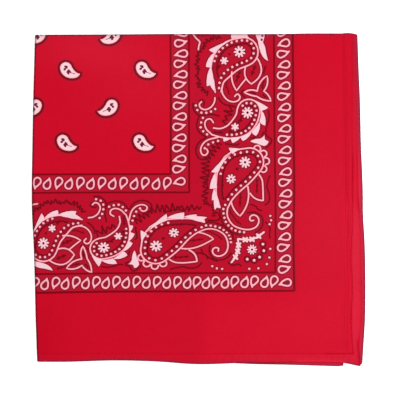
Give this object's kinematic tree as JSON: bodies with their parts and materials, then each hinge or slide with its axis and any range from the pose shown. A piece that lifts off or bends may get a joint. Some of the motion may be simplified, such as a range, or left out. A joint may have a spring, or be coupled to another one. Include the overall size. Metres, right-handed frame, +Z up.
{
  "type": "folded bandana",
  "caption": "Square cotton bandana folded in quarters and lying flat, with narrow stitched hems at the open edges and rounded folds.",
  "frame": {"origin": "centre of the bounding box at the height of the flat face it rests on", "axes": "+X from the left fold to the open side with the hem, +Y from the open end to the top folds, +Z up through the layers"},
  "size_m": [0.284, 0.2834, 0.0054],
  "materials": {
    "printed_cotton": "matte plain-weave cotton, printed",
    "hem_cotton": "matte plain-weave cotton, turned and stitched"
  },
  "bodies": {
    "root": {"top_panel": "printed_cotton", "top_side_hem": "hem_cotton", "top_end_hem": "hem_cotton", "second_side_hem": "hem_cotton", "second_end_hem": "hem_cotton", "third_side_hem": "hem_cotton", "third_end_hem": "hem_cotton", "inner_layers": "printed_cotton", "under_panel": "printed_cotton", "under_side_hem": "hem_cotton", "under_end_hem": "hem_cotton"}
  },
  "joints": []
}
